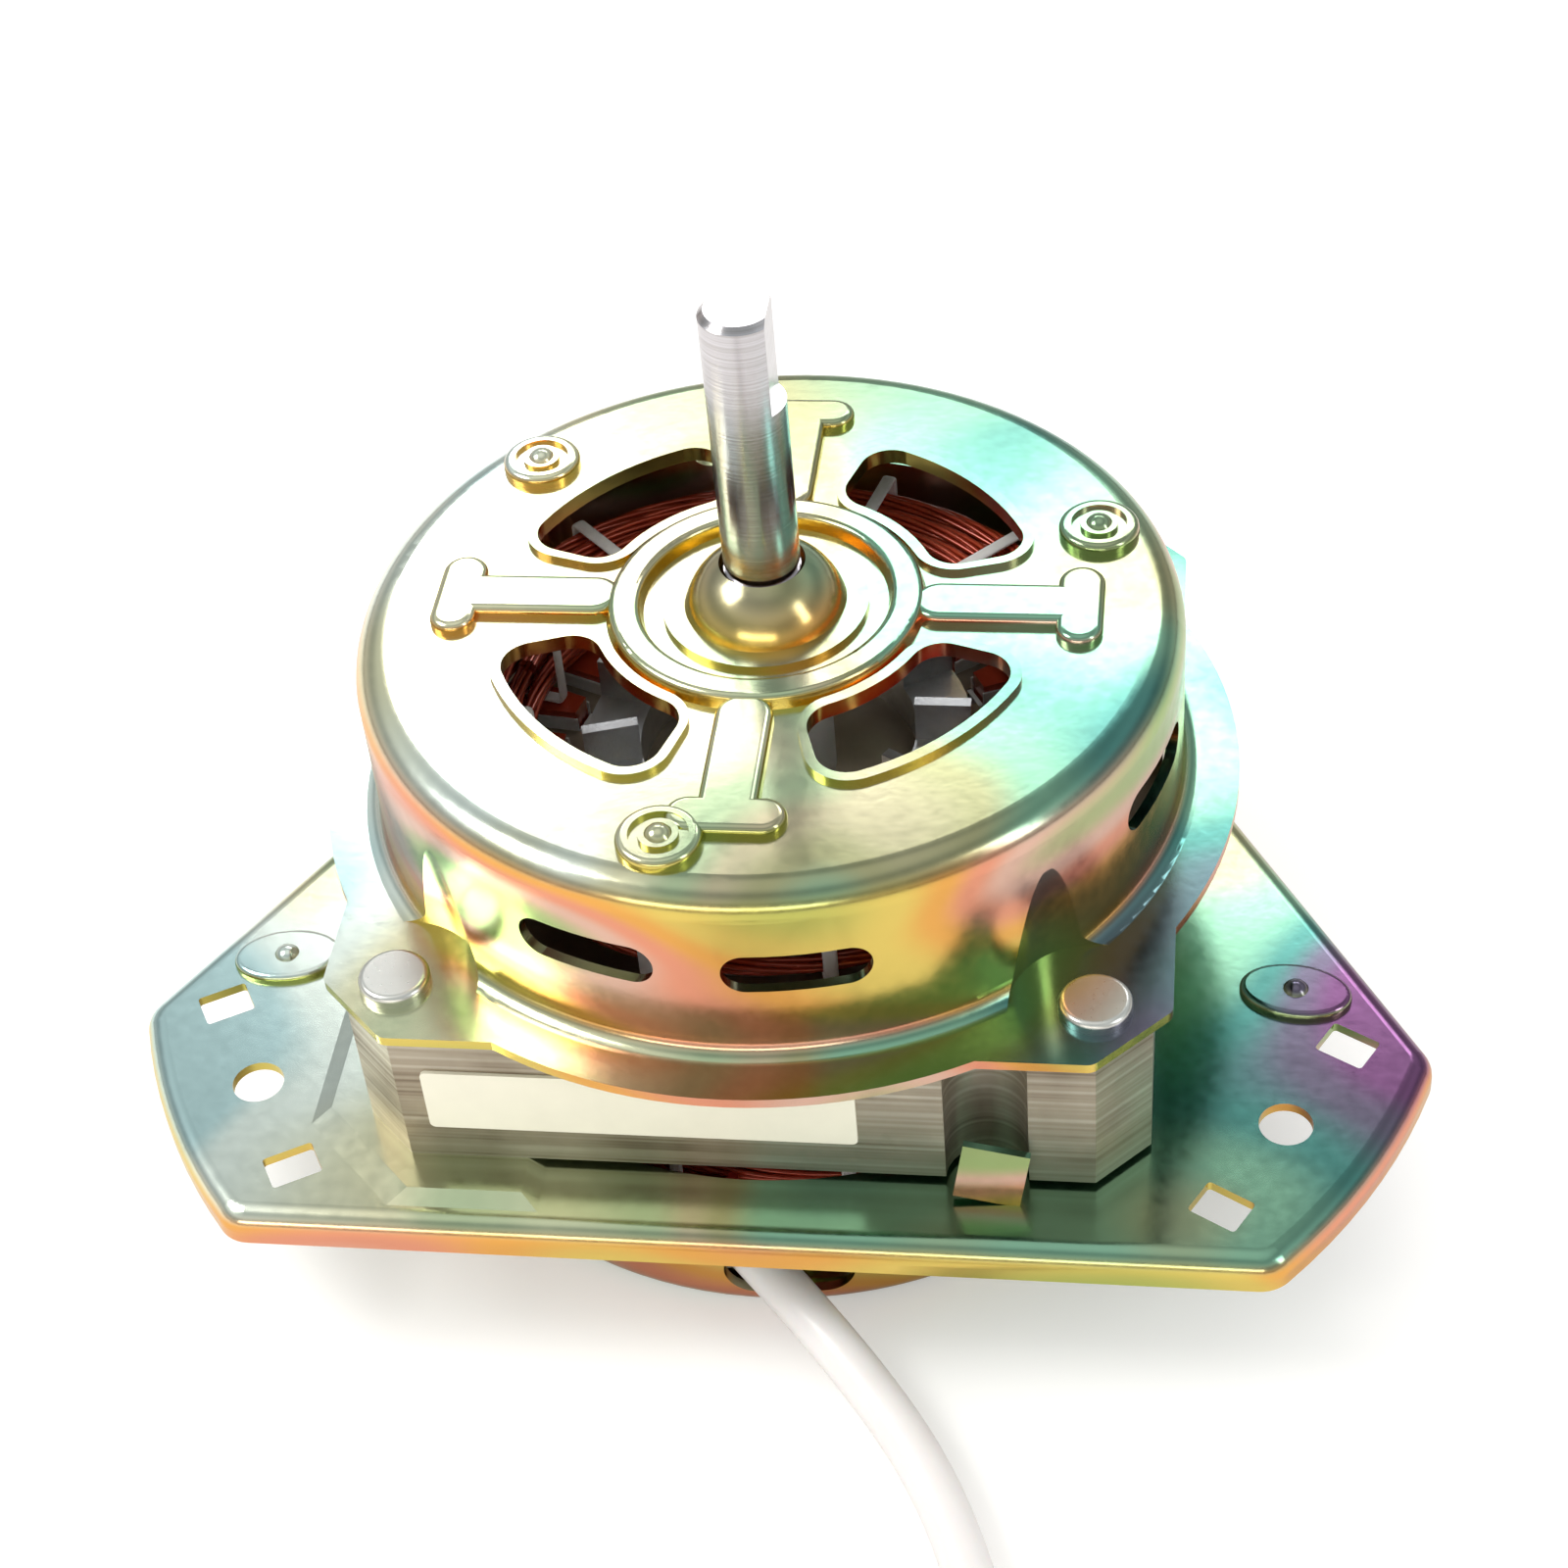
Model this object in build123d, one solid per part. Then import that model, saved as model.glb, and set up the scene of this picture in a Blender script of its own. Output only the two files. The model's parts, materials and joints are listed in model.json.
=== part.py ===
from build123d import *
import math
import os

os.makedirs("parts", exist_ok=True)

# Flange-mounted induction motor of a washing machine.
# Lengths are in millimetres and angles in degrees. The shaft's axis is x = y = 0, +Z runs up along
# the shaft, and z = 0 is the top face of the mounting plate, at the centre of its three holes.

# Pressed steel of both bells and the plate
sheet = 1.4
bell_radius = 54.0
bell_bend = 2.4
shoulder_radius = 4.2
overrun = 6.0  # how far a cutter runs past what it cuts
skin = 0.05  # gap between pieces that nest without a press

# Mounting plate
plate_inradius = 62.8
arm_radius = 92.0
arm_corner_radius = 5.0
plate_edge_bend = 3.0
skirt_drop = 4.9
rear_ear_radius = 11.0
rear_ear_fillet = 6.0
arm_angles = (90.0, 210.0, 330.0)
mounting_circle_diameter = 158.0
mounting_hole_diameter = 7.0
key_hole_offset = 16.2
key_hole_length = 6.8
key_hole_width = 5.4
key_hole_corner = 0.5
arm_boss_radial = 68.7
arm_boss_offset = 20.6
arm_boss_length = 15.0
arm_boss_width = 9.6
arm_boss_height = 1.2
arm_boss_turn = 22.0
pip_radius = 1.7
pip_height = 1.0

# Seats for the stack on the plate
seat_height = 0.9
seat_half = 59.4
seat_clip = 13.0
seat_slope = 2.4
seat_corner_radius = 3.2
seat_gap_offset = 6.0
seat_gap_half = 20.5
seat_recess_wall = 3.2
tongue_width = 8.6
tongue_height = 8.0
tongue_thickness = 1.2
tongue_lean = 24.0
tongue_twist = 20.0

# Laminated stator
stack_length = 23.5
stack_half = 51.3
stack_chamfer = 6.8
bore_radius = 27.0
slot_count = 24
slot_mouth = 2.2
slot_inner_radius = 28.8
slot_outer_radius = 39.6
tooth_width = 3.6
slot_corner = 1.2
groove_offset = 30.8
groove_radius = 5.3
rivet_offset = 44.2
rivet_diameter = 5.0
rivet_clearance = 0.1
rivet_head_diameter = 9.2
rivet_head_height = 1.7
rivet_head_round = 0.8
rivet_tail_diameter = 8.0
rivet_tail_height = 1.8

# Upper bell
flange_half = 53.7
flange_clip = 9.45
flange_round_rise = 7.8
flange_corner_radius = 2.0
upper_panel_height = 52.5
panel_rib_height = 1.5

# Ventilation and ribs, alike on both bells
wall_slot_length = 18.4
wall_slot_height = 6.0
wall_slot_half_pitch = 14.2
upper_slot_turn = -94.4
upper_slot_height = 39.8
lower_slot_turn = -71.8
lower_slot_height = 11.6
window_inner_radius = 22.6
window_outer_radius = 35.6
window_half_span = 27.0
window_corner = 4.2
window_lip_width = 1.5
window_lip_height = 0.8
rib_start_radius = 19.0
rib_end_inset = 10.4
rib_width = 7.4
rib_head_inset = 3.0
rib_head_length = 15.0
rib_head_width = 6.0
rib_round = 1.0
panel_boss_inset = 8.7
panel_boss_angles = (-99.5, 21.0, 140.0)
panel_boss_diameter = 10.6
panel_boss_height = 1.6
panel_boss_round = 0.9
panel_boss_ring_outer = 3.7
panel_boss_ring_inner = 2.5
panel_boss_ring_depth = 0.6
flute_radius = 10.8
flute_top_radius = 8.2
flute_height = 20.0
lower_flute_height = 14.0

# Bearing hubs, alike on both bells
hub_ring_outer = 20.2
hub_ring_inner = 16.6
hub_ring_height = 1.9
hub_ring_slope = 0.9
hub_step_radius = 13.4
hub_step_height = 0.8
bush_ball_radius = 9.5
bush_length = 12.0
bush_running_gap = 0.03
bush_seat_drop = 0.7
shaft_hole_radius = 5.6
felt_inner_radius = 9.8
felt_outer_radius = 15.0
felt_height = 4.1
keeper_sheet = 0.8
keeper_flange_radius = 18.4
keeper_lip_radius = 9.0
keeper_slit_count = 6
keeper_slit_width = 1.6
keeper_slit_radius = 12.6

# Lower bell
lower_ring_height = 25.5
lower_ring_width = 9.8
lower_recess_slope = 2.8
lower_recess_height = 18.0

# Shaft and rotor
shaft_diameter = 10.0
shaft_top = 98.3
shaft_bottom = -21.6
shaft_chamfer = 0.8
flat_depth = 1.4
flat_length = 13.5
relief_depth = 0.25
relief_width = 1.2
relief_lift = 0.5  # how far the relief's top edge stands above the mouth of the upper hub
air_gap = 0.35
rotor_bar_count = 22
rotor_bar_width = 2.4
rotor_bar_depth = 4.4
rotor_bar_radius = 22.9
end_ring_inner = 18.6
end_ring_outer = 26.1
end_ring_height = 6.0
fin_count = 11
fin_height = 6.0
fin_thickness = 1.6
lower_fin_height = 3.0
spacer_radius = 7.5
washer_radius = 8.2
washer_thickness = 0.9
end_play = 0.15

# Windings
liner_wall = 0.3
liner_overhang = 2.0
coil_side_overhang = 3.0
wedge_thickness = 0.7
wedge_side_gap = 0.15
wire_bundle_diameter = 2.4
wire_bundle_pitch = 3.2
winding_inner_radius = 32.6
winding_turns_per_layer = 4
winding_layers = 4
points_per_half_turn = 24  # for measuring the least gap between its passes
lace_count = 12
lace_thickness = 0.6
lace_width = 1.9
fuse_length = 17.0
fuse_width = 7.0
fuse_height = 4.2
fuse_round = 1.2
fuse_turn = -118.0
splice_length = 15.0
splice_diameter = 4.2
splice_turns = (-62.0, -38.0)

# Label plate on the front of the stack, left bare
label_width = 55.5
label_height = 10.3
label_thickness = 0.5
label_centre = -13.2
label_middle_height = 12.1
label_corner = 0.8

# Lead: a sleeved cable, its coil as stored, its tie and its connector
cable_diameter = 6.5
cable_slot_centre = 4.2
cable_slot_width = 17.4
cable_slot_height = 7.6
cable_slot_middle = -17.6
coil_lift = 0.7
coil_pitch = 7.2
coil_centre = (0.0, -150.0)
coil_start_radius = 37.5
coil_half_turns = 3
tail_radius = 19.5
core_wire_diameter = 1.5
core_wire_pitch = 1.8
core_wire_bend = 1.1
core_wire_rise = 9.0
inner_tie_wall = 0.7
inner_tie_width = 1.8
inner_tie_inset = 0.2
tie_wall = 0.6
tie_width = 4.0
tie_gap = 0.1
plug_length = 17.0
plug_width = 11.4
plug_height = 7.6
plug_round = 0.7
plug_boot_length = 7.0
plug_boot_wall = 1.3
plug_poles = 3
plug_pole_pitch = 3.5
plug_cavity = 2.4
plug_cavity_depth = 9.0
plug_latch_width = 5.0
plug_latch_length = 10.0
plug_latch_height = 1.2
terminal_diameter = 1.5
terminal_recess = 1.0

# The cable's own route, point by point, from its end inside the bell to the start of the coil, and the
# share of a leg that each of its bends may take up
route_round_share = 0.45
route_start_inset = 6.1
route_exit_reach = 10.5
cable_route = [
    (-3.6, route_start_inset - bell_radius, -17.4),
    (13.0, -bell_radius - route_exit_reach, -19.4),
    (29.0, -87.0, -21.55),
    (37.5, -119.0, -21.55),
    (37.5, -150.0, -21.55),
]

# Worked out from the sizes above
cable_radius = cable_diameter / 2
shaft_radius = shaft_diameter / 2
rest_height = -lower_ring_height
stack_bottom = seat_height
stack_top = stack_bottom + stack_length
flange_bottom = stack_top
flange_top = flange_bottom + sheet
seat_under = seat_height - sheet
upper_inside = upper_panel_height - sheet
lower_inside = lower_recess_height - sheet
upper_bush_height = upper_inside - bush_seat_drop
lower_bush_height = -(lower_inside - bush_seat_drop)
rotor_radius = bore_radius - air_gap
bush_half = bush_length / 2
pocket_radius = bush_ball_radius + skin
dome_radius = pocket_radius + sheet
hub_mouth_height = upper_bush_height + math.sqrt(dome_radius ** 2 - shaft_hole_radius ** 2)
relief_top = hub_mouth_height + relief_lift
flange_round_radius = flange_half + flange_round_rise
lower_ring_inner = bell_radius - lower_ring_width
lower_recess_radius = lower_ring_inner - lower_recess_slope
rib_end_radius = bell_radius - rib_end_inset
rib_head_radius = rib_end_radius - rib_head_inset
panel_boss_radius = bell_radius - panel_boss_inset
winding_band = (winding_turns_per_layer - 1) * wire_bundle_pitch
winding_rise = (winding_layers - 1) * wire_bundle_pitch
winding_outer_radius = winding_inner_radius + winding_band + wire_bundle_diameter
winding_seat_gap = lace_thickness + 3 * skin
top_winding_seat = stack_top + coil_side_overhang + winding_seat_gap
bottom_winding_seat = stack_bottom - coil_side_overhang - winding_seat_gap
laid_cable_height = rest_height + cable_radius + coil_lift
quarter_turns = (0, 90, 180, 270)


def on_ring(radius, angle, height=0):
    turn = math.radians(angle)
    return (radius * math.cos(turn), radius * math.sin(turn), height)


def turned(points):
    # Solid of revolution about Z of a closed outline; each point is (radius, height, rounding)
    face = make_face(Polyline(*[(radius, height) for radius, height, _ in points], close=True))
    for radius, height, rounding in points:
        if rounding > 0:
            corner = face.vertices().sort_by_distance((radius, height))[0]
            face = fillet(corner, radius=rounding)
    return revolve(Plane.XZ * face, axis=Axis.Z)


def ring(inner, outer, low, high):
    return turned([(inner, low, 0), (outer, low, 0), (outer, high, 0), (inner, high, 0)])


def sector(inner, outer, half_span, corner):
    # Kidney-shaped outline about the X axis
    start, end = on_ring(outer, half_span)[:2], on_ring(inner, half_span)[:2]
    edges = [
        CenterArc((0, 0), outer, -half_span, 2 * half_span),
        Line(start, end),
        CenterArc((0, 0), inner, half_span, -2 * half_span),
        Line((end[0], -end[1]), (start[0], -start[1])),
    ]
    face = make_face(edges)
    return fillet(face.vertices(), radius=corner)


def raised(face, low, height):
    return Pos(0, 0, low) * extrude(face, amount=height)


def flute_cones(base, height, extra):
    # Cones at the rivets that hollow the wall so that a riveting tool reaches the head
    cone = Cone(
        flute_radius + extra, flute_top_radius + extra, height, align=(Align.CENTER, Align.CENTER, Align.MIN)
    )
    cutters = Part()
    for x in (-rivet_offset, rivet_offset):
        for y in (-rivet_offset, rivet_offset):
            cutters += Pos(x, y, base) * cone
    return cutters


def wall_slots(turn, middle):
    slot = SlotOverall(wall_slot_length, wall_slot_height)
    cutters = Part()
    for quarter in quarter_turns:
        for side in (-wall_slot_half_pitch, wall_slot_half_pitch):
            angle = turn + quarter + side
            out = Vector(*on_ring(1, angle))
            along = Vector(*on_ring(1, angle + 90))
            plane = Plane(origin=out * (bell_radius - overrun) + Vector(0, 0, middle), x_dir=along, z_dir=out)
            cutters += extrude(plane * slot, amount=2 * overrun)
    return cutters


def shaped_panel(body, panel):
    # Lips, ribs and hub of a bell's end panel, whose outer face is at this height, and its windows
    window = sector(window_inner_radius, window_outer_radius, window_half_span, window_corner)
    lip = sector(
        window_inner_radius - window_lip_width,
        window_outer_radius + window_lip_width,
        window_half_span + math.degrees(window_lip_width / window_outer_radius),
        window_corner + window_lip_width,
    )
    rib_length = rib_end_radius - rib_start_radius
    rib = Pos((rib_start_radius + rib_end_radius) / 2, 0) * SlotOverall(rib_length, rib_width)
    rib += Pos(rib_head_radius, 0) * Rot(0, 0, 90) * SlotOverall(rib_head_length, rib_head_width)
    root = sheet / 2
    rib_solid = raised(rib, panel - root, panel_rib_height + root)
    top_edges = rib_solid.faces().sort_by(Axis.Z)[-1].edges()
    rib_solid = fillet(top_edges, radius=rib_round)
    lip_solid = raised(lip, panel - root, window_lip_height + root)
    cut = raised(window, panel - sheet - overrun, sheet + 2 * overrun)
    for quarter in quarter_turns:
        body += Rot(0, 0, quarter + 45) * lip_solid
    for quarter in quarter_turns:
        body += Rot(0, 0, quarter) * rib_solid
    for quarter in quarter_turns:
        body -= Rot(0, 0, quarter + 45) * cut
    return body


def with_hub(body, panel):
    # Ring bead, step and ball-shaped pocket for the bush, pressed outwards round the shaft
    root = sheet / 2
    body += turned(
        [
            (hub_ring_inner - hub_ring_slope, panel - root, 0),
            (hub_ring_outer + hub_ring_slope, panel - root, 0),
            (hub_ring_outer, panel + hub_ring_height, hub_ring_slope),
            (hub_ring_inner, panel + hub_ring_height, hub_ring_slope),
        ]
    )
    body += ring(0, hub_step_radius, panel - root, panel + hub_step_height)
    bush_height = panel - sheet - bush_seat_drop
    half_space = Pos(0, 0, panel - root) * Cylinder(
        dome_radius, dome_radius, align=(Align.CENTER, Align.CENTER, Align.MIN)
    )
    body += (Pos(0, 0, bush_height) * Sphere(dome_radius)) & half_space
    body -= Pos(0, 0, bush_height) * Sphere(pocket_radius)
    return body - Cylinder(shaft_hole_radius, 4 * dome_radius + 2 * panel)


def panel_boss():
    # Round boss with a sunk ring and a small dome, one of three on the upper panel
    radius = panel_boss_diameter / 2
    root = 2 * sheet / 3
    boss = turned([(0, -root, 0), (radius, -root, 0), (radius, panel_boss_height, panel_boss_round),
                   (0, panel_boss_height, 0)])
    boss -= ring(
        panel_boss_ring_inner, panel_boss_ring_outer,
        panel_boss_height - panel_boss_ring_depth, panel_boss_height + overrun,
    )
    return boss + Pos(0, 0, panel_boss_height) * dome(pip_radius, pip_height)


def dome(radius, height):
    # Cap of a ball, of this base radius and height, standing on z = 0
    ball = (radius * radius + height * height) / (2 * height)
    cap = Pos(0, 0, height - ball) * Sphere(ball)
    return cap & Cylinder(ball, 2 * ball, align=(Align.CENTER, Align.CENTER, Align.MIN))


def flange_outline():
    square = chamfer(Rectangle(2 * flange_half, 2 * flange_half).vertices(), flange_clip)
    outline = square + Circle(flange_round_radius)
    corners = [v for v in outline.vertices() if Vector(v.X, v.Y, 0).length > flange_round_radius + sheet]
    return fillet(corners, radius=flange_corner_radius)


def make_top_bell():
    bell = turned(
        [
            (0, flange_bottom, 0),
            (bell_radius + bell_bend + sheet, flange_bottom, 0),
            (bell_radius + bell_bend + sheet, flange_top, 0),
            (bell_radius, flange_top, bell_bend),
            (bell_radius, upper_panel_height, shoulder_radius),
            (0, upper_panel_height, 0),
        ]
    )
    bell += raised(flange_outline(), flange_bottom, sheet)
    bell -= flute_cones(flange_top, flute_height, 0)
    hollow = turned(
        [
            (0, flange_bottom - overrun, 0),
            (bell_radius - sheet, flange_bottom - overrun, 0),
            (bell_radius - sheet, upper_inside, shoulder_radius - sheet),
            (0, upper_inside, 0),
        ]
    )
    bell -= hollow - flute_cones(flange_bottom - overrun, flute_height + sheet + overrun, sheet)
    bell = shaped_panel(bell, upper_panel_height)
    bell = with_hub(bell, upper_panel_height)
    for angle in panel_boss_angles:
        bell += Pos(*on_ring(panel_boss_radius, angle, upper_panel_height)) * panel_boss()
    bell -= wall_slots(upper_slot_turn, upper_slot_height)
    for x in (-rivet_offset, rivet_offset):
        for y in (-rivet_offset, rivet_offset):
            bell -= Pos(x, y, flange_bottom) * Cylinder(rivet_diameter / 2 + rivet_clearance, 2 * overrun)
    return bell


def plate_outline(inset):
    # Triangle round the motor whose corners are cut off by the circle that the arms end on, with an
    # ear at each of the two rear rivets, which lie at its sides
    outline = RegularPolygon(plate_inradius - inset, 3, major_radius=False, rotation=90)
    outline &= Circle(arm_radius - inset)
    outline = fillet(outline.vertices(), radius=arm_corner_radius - inset)
    kept = [Vector(v.X, v.Y, 0) for v in outline.vertices()]
    for x in (-rivet_offset, rivet_offset):
        outline += Pos(x, rivet_offset) * Circle(rear_ear_radius - inset)
    notches = [v for v in outline.vertices() if min((Vector(v.X, v.Y, 0) - k).length for k in kept) > skin]
    return fillet(notches, radius=rear_ear_fillet + inset)


def pressed_plate():
    # Flat plate with its edge turned down all round
    plate = raised(plate_outline(0), -skirt_drop, skirt_drop)
    plate = fillet(plate.faces().sort_by(Axis.Z)[-1].edges(), radius=plate_edge_bend)
    hollow = raised(plate_outline(sheet), -skirt_drop - overrun, skirt_drop + overrun - sheet)
    hollow = fillet(hollow.faces().sort_by(Axis.Z)[-1].edges(), radius=plate_edge_bend - sheet)
    return plate - hollow


def seat_outline(inset):
    # Square ring round the bell, clipped at its corners and open near the middle of each side
    half = seat_half - inset
    square = chamfer(Rectangle(2 * half, 2 * half).vertices(), seat_clip)
    for quarter in quarter_turns:
        gap = Rectangle(2 * (seat_gap_half + inset), 2 * seat_half)
        square -= Rot(0, 0, quarter) * Pos(-seat_gap_offset, -seat_half) * gap
    pieces = [face for face in square.faces() if face.center().length > stack_half / 2]
    return [fillet(face.vertices(), radius=seat_corner_radius) for face in pieces]


def seats():
    # Each seat is a low table with sloping sides, lofted from its foot to its smaller top
    tables = Part()
    for foot, top in zip(seat_outline(0), seat_outline(seat_slope)):
        tables += loft([foot.faces()[0], Pos(0, 0, seat_height) * top.faces()[0]], ruled=True)
    return tables & raised(plate_outline(plate_edge_bend), -sheet, sheet + 2 * seat_height)


def arm_boss():
    eye = Ellipse(arm_boss_length / 2, arm_boss_width / 2)
    root = sheet / 2
    solid = raised(eye, -root, arm_boss_height + root)
    solid = fillet(solid.faces().sort_by(Axis.Z)[-1].edges(), radius=arm_boss_height * 2 / 3)
    return solid + Pos(0, 0, arm_boss_height) * dome(pip_radius, pip_height)


def arm_holes():
    holes = Part()
    depth = 4 * sheet
    key = fillet(Rectangle(key_hole_length, key_hole_width).vertices(), radius=key_hole_corner)
    for angle in arm_angles:
        radius = mounting_circle_diameter / 2
        holes += Pos(*on_ring(radius, angle)) * Cylinder(mounting_hole_diameter / 2, depth)
        for side in (-key_hole_offset, key_hole_offset):
            holes += Rot(0, 0, angle) * Pos(radius, side, -depth / 2) * extrude(key, amount=depth)
    return holes


def locating_tongue():
    # Tongue sheared from the seat and bent up, twisted, into the groove of the stack
    blade = Box(
        tongue_width, tongue_thickness, tongue_height, align=(Align.CENTER, Align.MAX, Align.MIN)
    )
    foot = Location((groove_offset, -stack_half, stack_bottom - sheet / 2))
    reach = tongue_thickness + tongue_height * math.sin(math.radians(tongue_lean))
    return foot * Pos(0, -skin, 0) * Pos(0, -reach / 2, 0) * Rot(-tongue_lean / 2, tongue_twist / 2, 0) * blade


def make_base_plate():
    plate = pressed_plate()
    plate += seats()
    for side in (-1, 1):
        angle = -90 + 120 * side / 2
        place = Rot(0, 0, angle) * Pos(arm_boss_radial, side * arm_boss_offset, 0)
        plate += place * Rot(0, 0, side * arm_boss_turn) * arm_boss()
    bowl = turned(
        [
            (0, 0, 0),
            (bell_radius + bell_bend + sheet, 0, 0),
            (bell_radius + bell_bend + sheet, -sheet, 0),
            (bell_radius, -sheet, bell_bend),
            (bell_radius, -lower_ring_height, shoulder_radius),
            (lower_ring_inner, -lower_ring_height, sheet),
            (lower_recess_radius, -lower_recess_height, sheet),
            (0, -lower_recess_height, 0),
        ]
    )
    bowl -= mirror(flute_cones(sheet, lower_flute_height, 0), about=Plane.XY)
    plate += bowl
    floor_height = lower_ring_height - sheet
    hollow = turned(
        [
            (0, overrun, 0),
            (bell_radius - sheet, overrun, 0),
            (bell_radius - sheet, -floor_height, shoulder_radius - sheet),
            (lower_ring_inner + sheet, -floor_height, sheet),
            (lower_recess_radius + sheet, -lower_inside, sheet),
            (0, -lower_inside, 0),
        ]
    )
    hollow -= mirror(flute_cones(-overrun, lower_flute_height + 2 * sheet + overrun, sheet), about=Plane.XY)
    plate -= hollow
    plate = mirror(shaped_panel(mirror(plate, about=Plane.XY), lower_recess_height), about=Plane.XY)
    plate = mirror(with_hub(mirror(plate, about=Plane.XY), lower_recess_height), about=Plane.XY)
    plate -= wall_slots(lower_slot_turn, -lower_slot_height)
    plate -= cable_slot()
    plate -= arm_holes()
    for x in (-rivet_offset, rivet_offset):
        for y in (-rivet_offset, rivet_offset):
            plate -= Pos(x, y, 0) * Cylinder(rivet_diameter / 2 + rivet_clearance, 2 * overrun)
            plate -= Pos(x, y, seat_under) * Cylinder(
                rivet_tail_diameter / 2 + seat_recess_wall, sheet + overrun,
                align=(Align.CENTER, Align.CENTER, Align.MAX),
            )
    return plate + locating_tongue()


def cable_slot():
    slot = SlotOverall(cable_slot_width, cable_slot_height)
    plane = Plane(
        origin=(cable_slot_centre, -bell_radius + overrun, cable_slot_middle), x_dir=(1, 0, 0), z_dir=(0, -1, 0)
    )
    return extrude(plane * slot, amount=2 * overrun)


def slot_face(inset, mouth_inset):
    # One stator slot about the X axis: parallel teeth, so it widens outwards
    half_pitch = math.pi / slot_count
    inner = slot_inner_radius + mouth_inset
    outer = slot_outer_radius - inset
    inner_half = inner * math.tan(half_pitch) - tooth_width / 2 - inset
    outer_half = outer * math.tan(half_pitch) - tooth_width / 2 - inset
    face = make_face(
        Polyline((inner, -inner_half), (outer, -outer_half), (outer, outer_half), (inner, inner_half), close=True)
    )
    ends = face.vertices().sort_by(Axis.X)[-2:]
    return fillet(ends, radius=slot_corner - inset)


def round_slots(solid):
    return [Rot(0, 0, 360 * number / slot_count) * solid for number in range(slot_count)]


def make_stator_core():
    outline = chamfer(Rectangle(2 * stack_half, 2 * stack_half).vertices(), stack_chamfer)
    outline -= Circle(bore_radius)
    mouth_length = slot_inner_radius - bore_radius + slot_corner
    mouth = Pos(bore_radius + mouth_length / 2 - slot_corner / 2, 0) * Rectangle(mouth_length, slot_mouth)
    opening = slot_face(0, 0) + mouth
    for number in range(slot_count):
        outline -= Rot(0, 0, 360 * number / slot_count) * opening
    for quarter in quarter_turns:
        outline -= Rot(0, 0, quarter) * Pos(groove_offset, -stack_half) * Circle(groove_radius)
    for x in (-rivet_offset, rivet_offset):
        for y in (-rivet_offset, rivet_offset):
            outline -= Pos(x, y) * Circle(rivet_diameter / 2 + rivet_clearance)
    return raised(outline, stack_bottom, stack_length)


def make_slot_liners():
    face = slot_face(skin, wedge_thickness + skin) - slot_face(liner_wall + skin, liner_wall)
    length = stack_length + 2 * liner_overhang
    return Compound(round_slots(raised(face, stack_bottom - liner_overhang, length)))


def make_slot_wedges():
    half_pitch = math.pi / slot_count
    wide = 2 * (slot_inner_radius * math.tan(half_pitch) - wedge_side_gap) - tooth_width
    middle = slot_inner_radius + wedge_thickness / 2
    strip = Pos(middle + skin / 2, 0) * Rectangle(wedge_thickness - skin, wide)
    return Compound(round_slots(raised(strip, stack_bottom, stack_length)))


def make_slot_coils():
    inset = liner_wall + 2 * skin
    face = slot_face(inset, wedge_thickness + liner_wall)
    length = stack_length + 2 * coil_side_overhang
    return Compound(round_slots(raised(face, stack_bottom - coil_side_overhang, length)))


def spiral_stops():
    # Where the bundle crosses the X axis, half a turn apart: in and out again, one layer at a time
    stops = []
    half_steps = 2 * winding_turns_per_layer - 1
    centre_radius = winding_inner_radius + wire_bundle_diameter / 2
    for layer in range(winding_layers):
        for step in range(half_steps):
            share = step if layer % 2 == 0 else half_steps - 1 - step
            radius = centre_radius + winding_band * share / (half_steps - 1)
            stops.append((radius, layer * wire_bundle_pitch))
    return stops


def half_turn(start, end, side, going):
    # Two tangent arcs that carry the bundle half a turn round the axis and up to the next stop
    first = Vector(side * start[0], 0, start[1])
    last = Vector(-side * end[0], 0, end[1])
    tangent = Vector(0, going, 0)
    reach = (last - first).length / 2
    middle = (first + last) / 2 + tangent * reach
    arc_in = TangentArc(first, middle, tangent=tangent)
    arc_out = TangentArc(middle, last, tangent=arc_in % 1)
    return [arc_in, arc_out]


def make_end_winding():
    # One unbroken bundle of enamelled wire wound round the axis in layers, bottom layer at z = 0
    stops = spiral_stops()
    edges = []
    side = 1
    for start, end in zip(stops, stops[1:]):
        edges += half_turn(start, end, side, side)
        side = -side
    path = Wire(edges)
    start = Vector(stops[0][0], 0, stops[0][1])
    section = Plane(origin=start, x_dir=(1, 0, 0), z_dir=(0, 1, 0)) * Circle(wire_bundle_diameter / 2)
    coil = sweep(section, path=path)
    expected = path.length * math.pi * wire_bundle_diameter ** 2 / 4
    print("end winding", round(path.length), "mm long, volume over section times length",
          round(coil.volume / expected, 4), "least gap", round(least_gap(path), 2))
    return Pos(0, 0, wire_bundle_diameter / 2) * coil


def least_gap(path):
    # Least distance between passes of the bundle that aren't next to each other along it, less its width
    half_turns = 2 * winding_layers * winding_turns_per_layer
    count = points_per_half_turn * half_turns
    points = [path @ (number / count) for number in range(count + 1)]
    near = points_per_half_turn
    least = winding_outer_radius
    for number, point in enumerate(points):
        for other in points[number + near:]:
            gap = (point - other).length
            if gap < least:
                least = gap
    return least - wire_bundle_diameter


def make_lacing():
    # Flat cord tied round the end winding, as closed loops
    width = winding_outer_radius - winding_inner_radius + 2 * skin
    height = winding_rise + wire_bundle_diameter + 2 * skin
    inner = Rectangle(width, height)
    outer = Rectangle(width + 2 * lace_thickness, height + 2 * lace_thickness)
    frame = fillet(outer.vertices(), radius=lace_thickness) - inner
    loop = extrude(Plane.XZ * frame, amount=lace_width / 2, both=True)
    middle = (winding_inner_radius + winding_outer_radius) / 2
    loop = Pos(middle, 0, (winding_rise + wire_bundle_diameter) / 2) * loop
    pitch = 360 / lace_count
    return Compound([Rot(0, 0, pitch * (number + 1 / 2)) * loop for number in range(lace_count)])


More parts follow.
